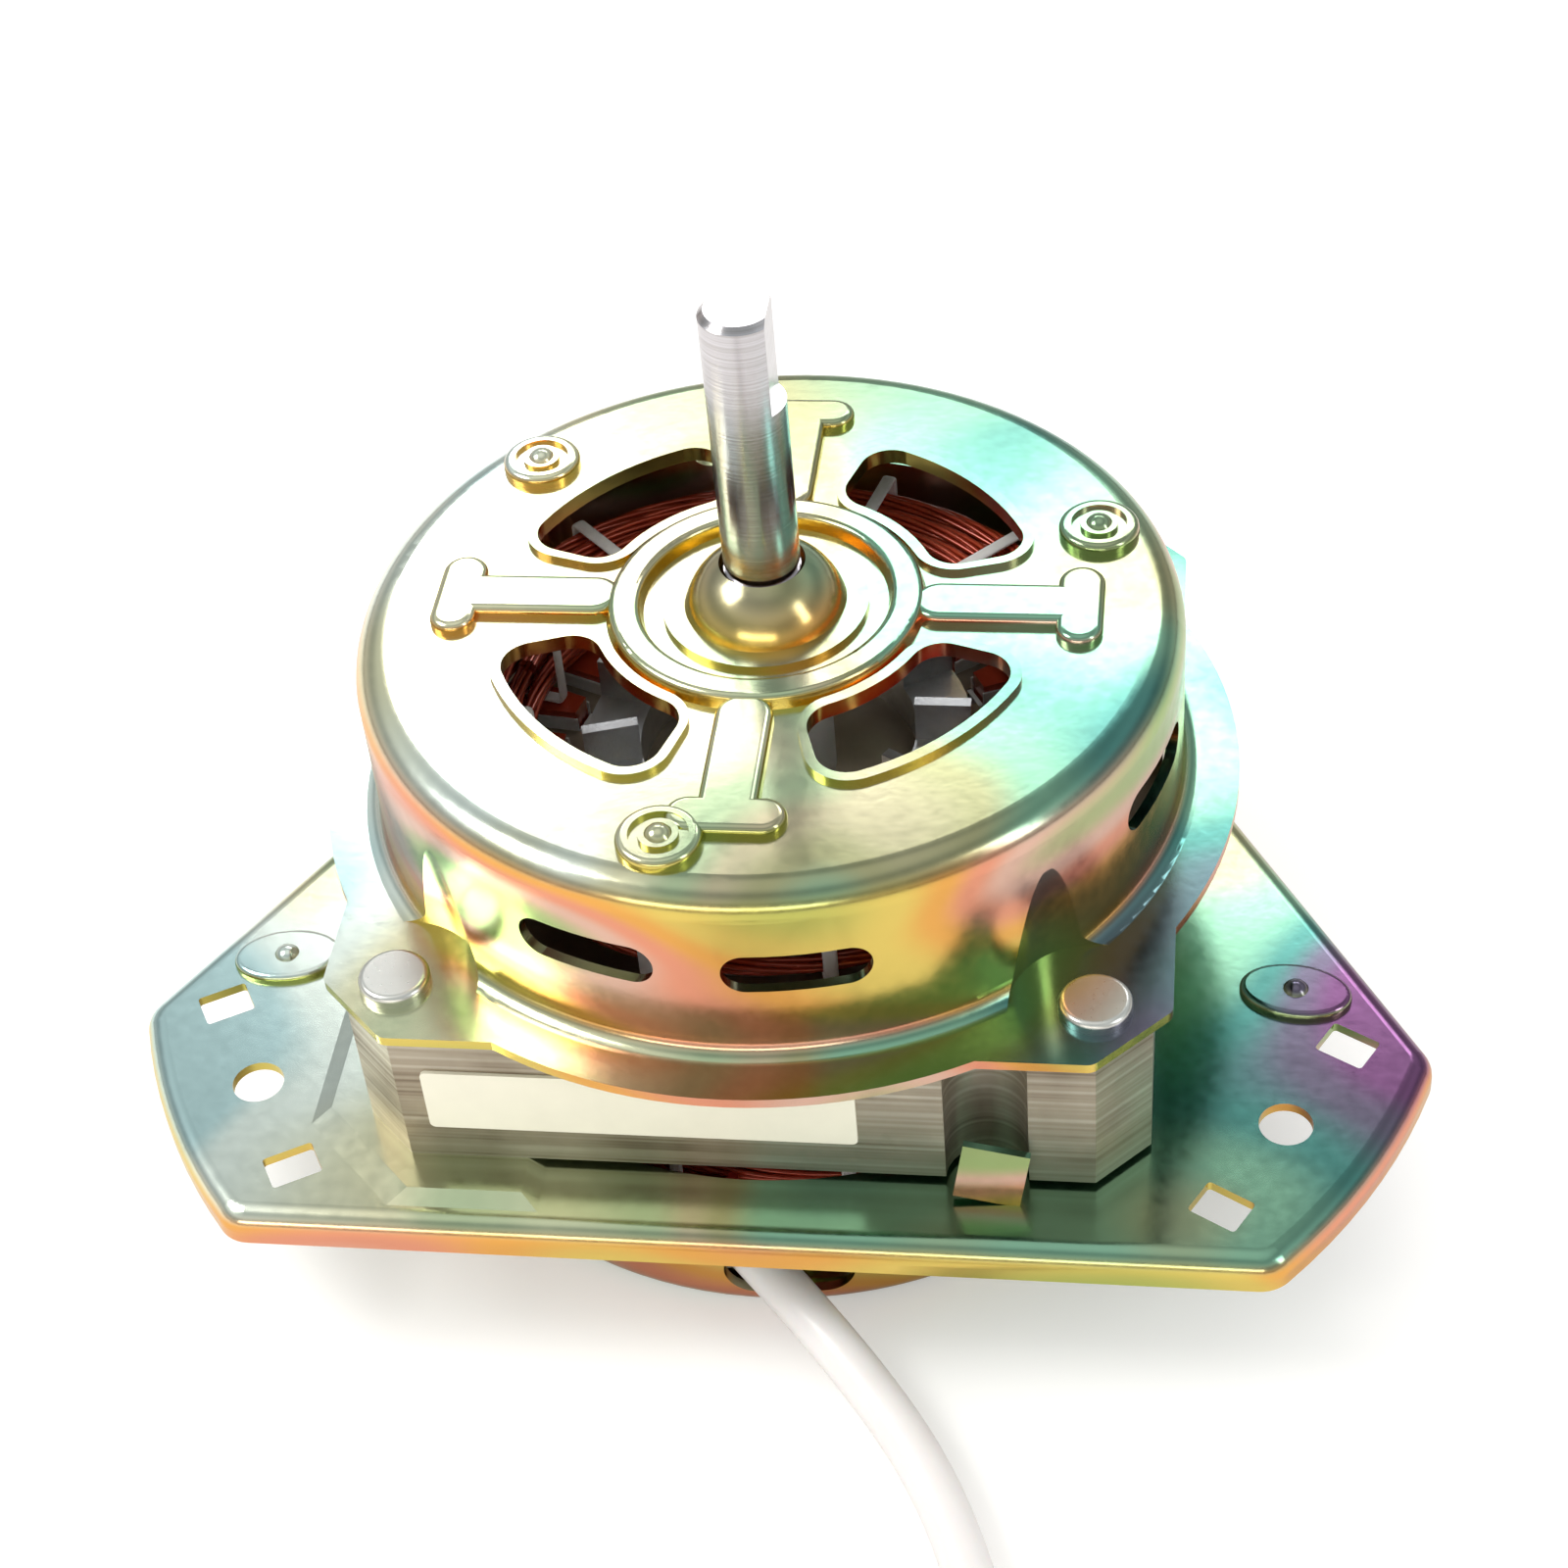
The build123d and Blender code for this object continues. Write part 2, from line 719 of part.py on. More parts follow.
def make_thermal_fuse():
    # Cut-out in a sleeve, lying on the upper end winding
    body = fillet(Box(fuse_width, fuse_length, fuse_height).edges(), radius=fuse_round)
    radius = (winding_inner_radius + winding_outer_radius) / 2
    height = top_winding_seat + winding_rise + wire_bundle_diameter + lace_thickness + fuse_height / 2
    return Rot(0, 0, fuse_turn) * Pos(radius, 0, height + 4 * skin) * body


def make_splices():
    # Sleeved joints between the windings and the leads, beside the cut-out
    radius = (winding_inner_radius + winding_outer_radius) / 2
    height = top_winding_seat + winding_rise + wire_bundle_diameter + lace_thickness + splice_diameter / 2
    pieces = []
    for turn in splice_turns:
        sleeve = Rot(90, 0, 0) * Cylinder(splice_diameter / 2, splice_length)
        sleeve = chamfer(sleeve.edges().filter_by(GeomType.CIRCLE), lace_thickness)
        pieces.append(Rot(0, 0, turn) * Pos(radius, 0, height + 4 * skin) * sleeve)
    return Compound(pieces)


def make_rivets():
    head = turned(
        [
            (0, flange_top, 0),
            (rivet_head_diameter / 2, flange_top, 0),
            (rivet_head_diameter / 2, flange_top + rivet_head_height, rivet_head_round),
            (0, flange_top + rivet_head_height, 0),
        ]
    )
    shank = ring(0, rivet_diameter / 2, seat_under, flange_top)
    tail = ring(0, rivet_tail_diameter / 2, seat_under - rivet_tail_height, seat_under)
    rivet = head + shank + tail
    rivet = chamfer(rivet.faces().sort_by(Axis.Z)[0].edges(), rivet_tail_height / 3)
    places = [(x, y) for x in (-rivet_offset, rivet_offset) for y in (-rivet_offset, rivet_offset)]
    return Compound([Pos(x, y, 0) * rivet for x, y in places])


def make_bush(height):
    ball = Sphere(bush_ball_radius) & Cylinder(bush_ball_radius, bush_length)
    return Pos(0, 0, height) * (ball - Cylinder(shaft_radius + bush_running_gap, 2 * bush_length))


def make_felt(panel_inside, facing):
    high = -skin
    felt = ring(felt_inner_radius, felt_outer_radius, high - felt_height, high)
    return seat_in_hub(felt, panel_inside, facing)


def make_keeper(panel_inside, facing):
    # Pressed cap that holds the felt in place and springs against the ball of the bush
    depth = felt_height + 2 * skin
    wall = felt_outer_radius + skin
    cap = turned(
        [
            (keeper_lip_radius, -depth - keeper_sheet, 0),
            (wall + keeper_sheet, -depth - keeper_sheet, keeper_sheet / 2),
            (wall + keeper_sheet, -keeper_sheet, 0),
            (keeper_flange_radius, -keeper_sheet, 0),
            (keeper_flange_radius, 0, 0),
            (wall, 0, 0),
            (wall, -depth, 0),
            (keeper_lip_radius, -depth, 0),
        ]
    )
    slit_length = keeper_slit_radius - keeper_lip_radius + keeper_slit_width
    slit = Pos(keeper_lip_radius, 0, -depth - keeper_sheet) * Box(slit_length, keeper_slit_width, depth)
    for number in range(keeper_slit_count):
        cap -= Rot(0, 0, 360 * number / keeper_slit_count) * slit
    return seat_in_hub(cap, panel_inside, facing)


def seat_in_hub(piece, panel_inside, facing):
    # Pieces under a hub are drawn hanging from z = 0; facing is 1 in the upper bell, -1 in the lower
    if facing < 0:
        piece = mirror(piece, about=Plane.XY)
    return Pos(0, 0, panel_inside) * piece


def make_shaft():
    shaft = ring(0, shaft_radius, shaft_bottom, shaft_top)
    ends = shaft.edges().filter_by(GeomType.CIRCLE)
    shaft = chamfer(ends, shaft_chamfer)
    flat = Pos(shaft_radius - flat_depth, 0, shaft_top - flat_length) * Box(
        shaft_diameter, 2 * shaft_diameter, flat_length + overrun, align=(Align.MIN, Align.CENTER, Align.MIN)
    )
    # Relief in the mouth of the hub, where the journal of the bush ends and the output end begins
    relief = ring(shaft_radius - relief_depth, shaft_diameter, relief_top - relief_width, relief_top)
    return shaft - flat - relief


def rotor_bars(low, height):
    bar = Pos(rotor_bar_radius, 0, low) * Box(
        rotor_bar_depth, rotor_bar_width, height, align=(Align.CENTER, Align.CENTER, Align.MIN)
    )
    return [Rot(0, 0, 360 * number / rotor_bar_count) * bar for number in range(rotor_bar_count)]


def make_rotor_core():
    core = ring(shaft_radius, rotor_radius, stack_bottom, stack_top)
    return core - rotor_bars(stack_bottom - overrun, stack_length + 2 * overrun)


def make_rotor_cage():
    # Die-cast cage: a ring at each end, joined by bars through the core, with fins that move the air
    cage = ring(end_ring_inner, end_ring_outer, stack_top, stack_top + end_ring_height)
    cage += ring(end_ring_inner, end_ring_outer, stack_bottom - end_ring_height, stack_bottom)
    length = end_ring_outer - end_ring_inner
    middle = (end_ring_inner + end_ring_outer) / 2
    for number in range(fin_count):
        turn = Rot(0, 0, 360 * number / fin_count)
        cage += turn * Pos(middle, 0, stack_top + end_ring_height) * Box(
            length, fin_thickness, fin_height, align=(Align.CENTER, Align.CENTER, Align.MIN)
        )
        cage += turn * Pos(middle, 0, stack_bottom - end_ring_height) * Box(
            length, fin_thickness, lower_fin_height, align=(Align.CENTER, Align.CENTER, Align.MAX)
        )
    for bar in rotor_bars(stack_bottom, stack_length):
        cage += bar
    return cage


def make_upper_washer():
    high = upper_bush_height - bush_half - end_play
    return ring(shaft_radius, washer_radius, high - washer_thickness, high)


def make_upper_spacer():
    high = upper_bush_height - bush_half - end_play - washer_thickness
    return ring(shaft_radius, spacer_radius, stack_top, high)


def make_lower_washer():
    low = lower_bush_height + bush_half + end_play
    return ring(shaft_radius, washer_radius, low, low + washer_thickness)


def make_lower_spacer():
    low = lower_bush_height + bush_half + end_play + washer_thickness
    return ring(shaft_radius, spacer_radius, low, stack_bottom)


def make_label_plate():
    face = fillet(Rectangle(label_width, label_height).vertices(), radius=label_corner)
    plane = Plane(origin=(label_centre, -stack_half, label_middle_height), x_dir=(1, 0, 0), z_dir=(0, -1, 0))
    return extrude(plane * face, amount=label_thickness)


def route_radii(points):
    radii = []
    for before, point, after in zip(points, points[1:], points[2:]):
        run_in = Vector(*point) - Vector(*before)
        run_out = Vector(*after) - Vector(*point)
        turn = math.radians(run_in.get_angle(run_out))
        radii.append(route_round_share * min(run_in.length, run_out.length) / math.tan(turn / 2))
    return radii


def tube(path, diameter, name):
    start = path @ 0
    section = Plane(origin=start, z_dir=path % 0) * Circle(diameter / 2)
    solid = sweep(section, path=path)
    expected = path.length * math.pi * diameter ** 2 / 4
    print(name, round(path.length), "mm long, volume over section times length",
          round(solid.volume / expected, 4))
    return solid


def make_lead_cable():
    radii = route_radii(cable_route)
    print("cable arc radii", [round(radius, 1) for radius in radii])
    path = FilletPolyline(*cable_route, radius=radii)
    return tube(Wire(path.edges()), cable_diameter, "lead cable")


def coil_path():
    # Half turns whose centres step along X, so that the turns lie a pitch apart, then a quarter turn in
    centre_x, centre_y = coil_centre
    edges = []
    side = 1
    radius = coil_start_radius
    for number in range(coil_half_turns):
        inner = radius - coil_pitch / 2
        first = Vector(centre_x + side * radius, centre_y, laid_cable_height)
        last = Vector(centre_x - side * inner, centre_y, laid_cable_height)
        arc = TangentArc(first, last, tangent=(0, -side, 0))
        edges.append(arc)
        side = -side
        radius = inner
    corner = Vector(centre_x + side * (radius - tail_radius), centre_y - side * tail_radius, laid_cable_height)
    edges.append(TangentArc(last, corner, tangent=(0, -side, 0)))
    return Wire(edges)


def make_cable_coil():
    return tube(coil_path(), cable_diameter, "cable coil")


def make_coil_tie():
    # Band round the two turns that lie side by side at the front of the coil
    first_centre = coil_centre[0] + coil_pitch / 4
    outer_turn = coil_start_radius - coil_pitch / 4
    inner_turn = outer_turn - coil_pitch
    clear = cable_radius + tie_gap
    low, high = coil_centre[1] - outer_turn - clear, coil_centre[1] - inner_turn + clear
    inner = Rectangle(high - low, 2 * clear)
    band = Rectangle(high - low + 2 * tie_wall, 2 * clear + 2 * tie_wall)
    frame = fillet(band.vertices(), radius=tie_wall) - inner
    plane = Plane(
        origin=(first_centre, (low + high) / 2, laid_cable_height), x_dir=(0, 1, 0), z_dir=(1, 0, 0)
    )
    return extrude(plane * frame, amount=tie_width / 2, both=True)


def plug_place():
    end = coil_path() @ 1
    return Pos(end.X, end.Y, rest_height + plug_height / 2)


def plug_poles_y():
    return [plug_pole_pitch * (number - (plug_poles - 1) / 2) for number in range(plug_poles)]


def make_connector():
    # Nylon housing with a boot that takes the sleeve, three cavities and a latch
    rise = laid_cable_height - rest_height - plug_height / 2
    body = Pos(plug_boot_length, 0, 0) * Box(
        plug_length - plug_boot_length, plug_width, plug_height, align=(Align.MIN, Align.CENTER, Align.CENTER)
    )
    body = fillet(body.edges().filter_by(Axis.X), radius=plug_round)
    boot_radius = cable_radius - plug_boot_wall / 2
    boot = Pos(0, 0, rise) * Rot(0, 90, 0) * Cylinder(
        boot_radius, plug_boot_length, align=(Align.CENTER, Align.CENTER, Align.MIN)
    )
    body += boot
    cavity = Pos(plug_length - plug_cavity_depth, 0, 0) * Box(
        plug_cavity_depth + overrun, plug_cavity, plug_cavity, align=(Align.MIN, Align.CENTER, Align.CENTER)
    )
    for y in plug_poles_y():
        body -= Pos(0, y, 0) * cavity
    latch = Pos(plug_length - plug_latch_length, 0, plug_height / 2) * Box(
        plug_latch_length * 2 / 3, plug_latch_width, plug_latch_height,
        align=(Align.MIN, Align.CENTER, Align.MIN),
    )
    return plug_place() * (body + latch)


def make_terminals():
    length = plug_cavity_depth - terminal_recess
    pin = Pos(plug_length - plug_cavity_depth, 0, 0) * Rot(0, 90, 0) * Cylinder(
        terminal_diameter / 2, length, align=(Align.CENTER, Align.CENTER, Align.MIN)
    )
    return Compound([plug_place() * Pos(0, y, 0) * pin for y in plug_poles_y()])


def cable_inner_frame():
    # Where the sleeve ends inside the bell, and the way it points
    start = Vector(*cable_route[0])
    along = (Vector(*cable_route[1]) - start).normalized()
    return start, along


def make_inner_tie():
    # Tie on the sleeve just inside the wall, which stops the lead from being pulled out
    start, along = cable_inner_frame()
    plane = Plane(origin=start + along * inner_tie_inset, z_dir=along)
    outer = cable_radius + skin + inner_tie_wall
    face = Circle(outer) - Circle(cable_radius + skin)
    return extrude(plane * face, amount=inner_tie_width)


def make_core_wires():
    # Insulated wires, one for each pole, that leave the sleeve and rise beside the lower end winding
    start, along = cable_inner_frame()
    flat = Vector(along.X, along.Y, 0).normalized()
    across = Vector(-flat.Y, flat.X, 0)
    wires = []
    for number in range(plug_poles):
        foot = start + across * (core_wire_pitch * (number - (plug_poles - 1) / 2)) - flat * (2 * skin)
        knee = foot - flat * (core_wire_bend + core_wire_diameter / 2)
        knee = Vector(knee.X, knee.Y, foot.Z)
        head = knee + Vector(0, 0, core_wire_rise)
        path = FilletPolyline(foot, knee, head, radius=core_wire_bend)
        wires.append(tube(Wire(path.edges()), core_wire_diameter, "core wire"))
    return Compound(wires)


def upper_ring(piece):
    return Pos(0, 0, top_winding_seat) * piece


def lower_ring(piece):
    return Pos(0, 0, bottom_winding_seat) * mirror(piece, about=Plane.XY)


end_winding = make_end_winding()
lacing = make_lacing()

nodes = {
    "base_plate": make_base_plate(),
    "top_bell": make_top_bell(),
    "stator_core": make_stator_core(),
    "slot_liners": make_slot_liners(),
    "slot_wedges": make_slot_wedges(),
    "slot_coils": make_slot_coils(),
    "upper_end_winding": upper_ring(end_winding),
    "lower_end_winding": lower_ring(end_winding),
    "upper_lacing": upper_ring(lacing),
    "lower_lacing": lower_ring(lacing),
    "thermal_fuse": make_thermal_fuse(),
    "splice_sleeves": make_splices(),
    "stack_rivets": make_rivets(),
    "upper_bush": make_bush(upper_bush_height),
    "upper_felt_ring": make_felt(upper_inside, 1),
    "upper_bush_keeper": make_keeper(upper_inside, 1),
    "lower_bush": make_bush(lower_bush_height),
    "lower_felt_ring": make_felt(-lower_inside, -1),
    "lower_bush_keeper": make_keeper(-lower_inside, -1),
    "label_plate": make_label_plate(),
    "shaft": make_shaft(),
    "rotor_core": make_rotor_core(),
    "rotor_cage": make_rotor_cage(),
    "upper_spacer": make_upper_spacer(),
    "upper_thrust_washer": make_upper_washer(),
    "lower_spacer": make_lower_spacer(),
    "lower_thrust_washer": make_lower_washer(),
    "core_wires": make_core_wires(),
    "inner_cable_tie": make_inner_tie(),
    "lead_cable": make_lead_cable(),
    "cable_coil": make_cable_coil(),
    "coil_tie": make_coil_tie(),
    "lead_connector": make_connector(),
    "connector_terminals": make_terminals(),
}

for name, solid in nodes.items():
    export_step(solid, f"parts/{name}.step")
    print(name, len(solid.solids()), "solids")
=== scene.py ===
import json
import math

import bpy
import numpy as np
from mathutils import Matrix, Vector


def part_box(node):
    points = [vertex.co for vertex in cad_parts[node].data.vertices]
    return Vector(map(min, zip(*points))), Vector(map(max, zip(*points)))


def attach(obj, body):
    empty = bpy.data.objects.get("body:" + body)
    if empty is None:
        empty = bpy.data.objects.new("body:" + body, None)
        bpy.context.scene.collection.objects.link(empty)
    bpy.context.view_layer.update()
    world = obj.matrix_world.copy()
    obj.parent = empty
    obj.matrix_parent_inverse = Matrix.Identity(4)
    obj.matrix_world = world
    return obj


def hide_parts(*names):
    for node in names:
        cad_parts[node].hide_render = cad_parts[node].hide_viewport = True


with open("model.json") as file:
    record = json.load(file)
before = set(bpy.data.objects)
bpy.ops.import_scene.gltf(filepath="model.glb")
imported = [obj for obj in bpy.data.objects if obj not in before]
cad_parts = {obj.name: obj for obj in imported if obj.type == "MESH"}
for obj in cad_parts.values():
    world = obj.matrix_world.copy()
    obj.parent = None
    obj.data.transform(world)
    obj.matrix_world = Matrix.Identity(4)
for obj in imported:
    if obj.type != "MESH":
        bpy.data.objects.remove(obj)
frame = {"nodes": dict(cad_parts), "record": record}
nodes = frame["nodes"]
scene = bpy.context.scene


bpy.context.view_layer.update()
print("frame loaded", len(nodes), "nodes")

# Lengths are in metres, in the frame of the CAD part: z = 0 is the top of the mounting plate and the
# shaft's axis is x = y = 0.
floorHeight = -0.0255

camera = {
    "place": (0.054446, -0.295349, 0.297133),
    "right": (0.99072, 0.11555, -0.07155),
    "up": (-0.02649, 0.68051, 0.73226),
    "back": (0.13331, -0.72357, 0.67726),
    "lens": 68.54,
    "sensor": 36.0,
    "clipStart": 0.01,
}
cameraData = bpy.data.cameras.new("photoCamera")
cameraData.lens = camera["lens"]
cameraData.sensor_width = camera["sensor"]
cameraData.clip_start = camera["clipStart"]
cameraObject = bpy.data.objects.new("photoCamera", cameraData)
scene.collection.objects.link(cameraObject)
turn = Matrix((camera["right"], camera["up"], camera["back"])).transposed().to_4x4()
cameraObject.matrix_world = Matrix.Translation(camera["place"]) @ turn
scene.camera = cameraObject
scene.view_settings.view_transform = "Standard"


# Materials. Every colour comes from the Object coordinates, so it stays on the surface in every view.
def newMaterial(name):
    material = bpy.data.materials.new(name)
    material.use_nodes = True
    tree = material.node_tree
    shader = tree.nodes["Principled BSDF"]
    return material, tree, shader


def addNode(tree, kind, settings=None, **values):
    node = tree.nodes.new(kind)
    for key, value in (settings or {}).items():
        setattr(node, key, value)
    for key, value in values.items():
        node.inputs[key].default_value = value
    return node


def mathOf(tree, first, second, operation="ADD"):
    node = addNode(tree, "ShaderNodeMath", {"operation": operation})
    for socket, value in zip(node.inputs, (first, second)):
        if isinstance(value, (int, float)):
            socket.default_value = value
        else:
            tree.links.new(value, socket)
    return node.outputs[0]


def rampOf(tree, factor, stops):
    node = addNode(tree, "ShaderNodeValToRGB")
    node.color_ramp.interpolation = "EASE"
    elements = node.color_ramp.elements
    while len(elements) < len(stops):
        elements.new(0.5)
    for element, (place, colour) in zip(elements, stops):
        element.position = place
        element.color = (*colour, 1)
    tree.links.new(factor, node.inputs[0])
    return node.outputs["Color"]


def noiseOf(tree, vector, scale, detail=2.0, distortion=0.0):
    node = addNode(tree, "ShaderNodeTexNoise", Scale=scale, Detail=detail, Distortion=distortion)
    tree.links.new(vector, node.inputs["Vector"])
    return node.outputs["Fac"]


def centred(tree, factor):
    # Noise lies about one half; this moves it so that it lies about zero
    return mathOf(tree, factor, 0.5, "SUBTRACT")


handling = {"coarseDetail": 3.0, "fineDetail": 4.0, "finePerCoarse": 6.0}


def surfaceGroup():
    # Handled-surface effect shared by every material: mottled colour, uneven roughness and fine relief
    group = bpy.data.node_groups.new("handledSurface", "ShaderNodeTree")
    group.interface.new_socket("Colour", in_out="INPUT", socket_type="NodeSocketColor")
    for name in ("Scale", "Mottle", "Roughness", "Unevenness", "Relief"):
        group.interface.new_socket(name, in_out="INPUT", socket_type="NodeSocketFloat")
    for name, kind in (("Colour", "NodeSocketColor"), ("Roughness", "NodeSocketFloat"),
                       ("Normal", "NodeSocketVector")):
        group.interface.new_socket(name, in_out="OUTPUT", socket_type=kind)
    source = group.nodes.new("NodeGroupInput")
    result = group.nodes.new("NodeGroupOutput")
    place = group.nodes.new("ShaderNodeTexCoord").outputs["Object"]
    coarse = addNode(group, "ShaderNodeTexNoise", Detail=handling["coarseDetail"])
    fine = addNode(group, "ShaderNodeTexNoise", Detail=handling["fineDetail"])
    for node in (coarse, fine):
        group.links.new(place, node.inputs["Vector"])
    scale = source.outputs["Scale"]
    group.links.new(scale, coarse.inputs["Scale"])
    group.links.new(mathOf(group, scale, handling["finePerCoarse"], "MULTIPLY"), fine.inputs["Scale"])
    shade = mathOf(group, centred(group, coarse.outputs["Fac"]), source.outputs["Mottle"], "MULTIPLY")
    mix = addNode(group, "ShaderNodeVectorMath", {"operation": "SCALE"})
    group.links.new(source.outputs["Colour"], mix.inputs[0])
    group.links.new(mathOf(group, shade, 1.0), mix.inputs["Scale"])
    group.links.new(mix.outputs["Vector"], result.inputs["Colour"])
    uneven = mathOf(group, centred(group, fine.outputs["Fac"]), source.outputs["Unevenness"], "MULTIPLY")
    group.links.new(mathOf(group, uneven, source.outputs["Roughness"]), result.inputs["Roughness"])
    bump = addNode(group, "ShaderNodeBump", Strength=1.0)
    group.links.new(fine.outputs["Fac"], bump.inputs["Height"])
    group.links.new(source.outputs["Relief"], bump.inputs["Distance"])
    group.links.new(bump.outputs["Normal"], result.inputs["Normal"])
    return group


handled = surfaceGroup()


def dress(tree, shader, values, colour=None):
    node = tree.nodes.new("ShaderNodeGroup")
    node.node_tree = handled
    for socket, key in (("Scale", "scale"), ("Mottle", "mottle"), ("Roughness", "roughness"),
                        ("Unevenness", "uneven"), ("Relief", "relief")):
        node.inputs[socket].default_value = values[key]
    if colour is None:
        node.inputs["Colour"].default_value = (*values["colour"], 1)
    else:
        tree.links.new(colour, node.inputs["Colour"])
    tree.links.new(node.outputs["Colour"], shader.inputs["Base Color"])
    tree.links.new(node.outputs["Roughness"], shader.inputs["Roughness"])
    tree.links.new(node.outputs["Normal"], shader.inputs["Normal"])
    shader.inputs["Metallic"].default_value = values.get("metal", 0.0)
    for name in ("Coat Weight", "Coat Roughness", "Sheen Weight", "Subsurface Weight"):
        if name in values:
            shader.inputs[name].default_value = values[name]


# Yellow passivated zinc: the film's colour drifts across flat faces and runs in bands round walls. On
# flat faces the colour also runs from light at -X to dark at +X. That run is painted reflection, a
# bright lamp mirrored on the left and dark surroundings on the right, laid over the film's real hues.
# "Share" is how far a noise may move the colour along its stops, "Bend" is the noise's distortion.
passivation = {
    # Flat faces: the film's hues, with a painted reflection running from light cream at the low end to
    # dark purple at the high end
    "flatFilmAndReflectionStops": [
        (0.00, (0.54, 0.74, 0.74)), (0.12, (0.84, 0.92, 0.84)), (0.26, (0.76, 0.74, 0.50)),
        (0.38, (0.42, 0.53, 0.33)), (0.47, (0.50, 0.46, 0.30)), (0.56, (0.38, 0.38, 0.21)),
        (0.66, (0.24, 0.46, 0.32)), (0.78, (0.09, 0.26, 0.23)), (0.90, (0.16, 0.14, 0.20)),
        (1.00, (0.20, 0.09, 0.20)),
    ],
    "wallStops": [
        (0.00, (0.42, 0.48, 0.12)), (0.24, (0.74, 0.56, 0.14)), (0.40, (0.80, 0.40, 0.10)),
        (0.54, (0.78, 0.32, 0.20)), (0.66, (0.72, 0.46, 0.36)), (0.80, (0.36, 0.48, 0.20)),
        (1.00, (0.66, 0.62, 0.44)),
    ],
    # How fast the painted reflection runs from light at -X to dark at +X, and where it is halfway
    "reflectionAndFilmPerMetre": 4.4, "reflectionAndFilmMiddle": 0.47,
    "broadScale": 15.0, "broadBend": 0.3, "broadShare": 0.9,
    "narrowScale": 34.0, "narrowBend": 0.4, "narrowShare": 0.35,
    "wallStretch": 2.6, "wallScale": 19.0, "wallBend": 0.4, "wallShare": 1.7, "wallMiddle": 0.45,
    "wallBelow": 0.25, "flatAbove": 0.85,
    "scale": 90.0, "mottle": 0.10, "roughness": 0.20, "uneven": 0.16, "relief": 0.00001, "metal": 1.0,
}
# Places of the colour sockets of a Mix node
mixSockets = {"first": 6, "second": 7, "result": 2}


def driftOf(tree, vector, values, name):
    noise = noiseOf(tree, vector, values[name + "Scale"], 0.0, values[name + "Bend"])
    return mathOf(tree, centred(tree, noise), values[name + "Share"], "MULTIPLY")


def passivatedMaterial(values):
    material, tree, shader = newMaterial("yellowZinc")
    place = tree.nodes.new("ShaderNodeTexCoord").outputs["Object"]
    apart = tree.nodes.new("ShaderNodeSeparateXYZ")
    tree.links.new(place, apart.inputs[0])
    drift = mathOf(tree, driftOf(tree, place, values, "broad"), driftOf(tree, place, values, "narrow"))
    # Painted reflection: the flat colour moves from light to dark along X, as if a bright lamp on the
    # left and dark surroundings on the right were mirrored in it
    across = mathOf(tree, apart.outputs["X"], values["reflectionAndFilmPerMetre"], "MULTIPLY")
    across = mathOf(tree, across, values["reflectionAndFilmMiddle"])
    flat = rampOf(tree, mathOf(tree, across, drift), values["flatFilmAndReflectionStops"])
    stretched = addNode(tree, "ShaderNodeMapping")
    stretched.inputs["Scale"].default_value = (1.0, 1.0, values["wallStretch"])
    tree.links.new(place, stretched.inputs["Vector"])
    banded = driftOf(tree, stretched.outputs["Vector"], values, "wall")
    wall = rampOf(tree, mathOf(tree, banded, values["wallMiddle"]), values["wallStops"])
    normal = tree.nodes.new("ShaderNodeNewGeometry").outputs["Normal"]
    facing = tree.nodes.new("ShaderNodeSeparateXYZ")
    tree.links.new(normal, facing.inputs[0])
    flatness = addNode(tree, "ShaderNodeMapRange", {"interpolation_type": "SMOOTHSTEP"})
    flatness.inputs["From Min"].default_value = values["wallBelow"]
    flatness.inputs["From Max"].default_value = values["flatAbove"]
    tree.links.new(mathOf(tree, facing.outputs["Z"], 0.0, "ABSOLUTE"), flatness.inputs["Value"])
    mix = addNode(tree, "ShaderNodeMix", {"data_type": "RGBA"})
    tree.links.new(flatness.outputs["Result"], mix.inputs["Factor"])
    tree.links.new(wall, mix.inputs[mixSockets["first"]])
    tree.links.new(flat, mix.inputs[mixSockets["second"]])
    dress(tree, shader, values, mix.outputs[mixSockets["result"]])
    return material


lamination = {
    "stops": [(0.30, (0.22, 0.17, 0.12)), (0.52, (0.42, 0.36, 0.28)), (0.74, (0.58, 0.53, 0.44))],
    "sheetsPerMetre": 2000.0, "alongSheet": 12.0, "sheetShare": 0.45,
    "stainScale": 45.0, "stainDetail": 2.0, "stainBend": 0.5, "stainShare": 0.6,
    "scale": 160.0, "mottle": 0.25, "roughness": 0.42, "uneven": 0.25, "relief": 0.00002, "metal": 0.85,
}


def laminationMaterial(values):
    # Stamped sheets half a millimetre thick: the shade steps from one sheet to the next
    material, tree, shader = newMaterial("lamination")
    place = tree.nodes.new("ShaderNodeTexCoord").outputs["Object"]
    layered = addNode(tree, "ShaderNodeMapping")
    along = values["alongSheet"]
    layered.inputs["Scale"].default_value = (along, along, values["sheetsPerMetre"])
    tree.links.new(place, layered.inputs["Vector"])
    sheets = noiseOf(tree, layered.outputs["Vector"], 1.0, 0.0)
    stains = noiseOf(tree, place, values["stainScale"], values["stainDetail"], values["stainBend"])
    both = mathOf(tree, mathOf(tree, sheets, values["sheetShare"], "MULTIPLY"),
                  mathOf(tree, stains, values["stainShare"], "MULTIPLY"))
    dress(tree, shader, values, rampOf(tree, both, values["stops"]))
    return material


turnedSteel = {
    "stops": [(0.25, (0.50, 0.47, 0.47)), (0.75, (0.72, 0.70, 0.74))],
    "ringsPerMetre": 3600.0, "alongRing": 20.0, "ringDetail": 2.0,
    "scale": 300.0, "mottle": 0.06, "roughness": 0.20, "uneven": 0.10, "relief": 0.000004, "metal": 1.0,
}


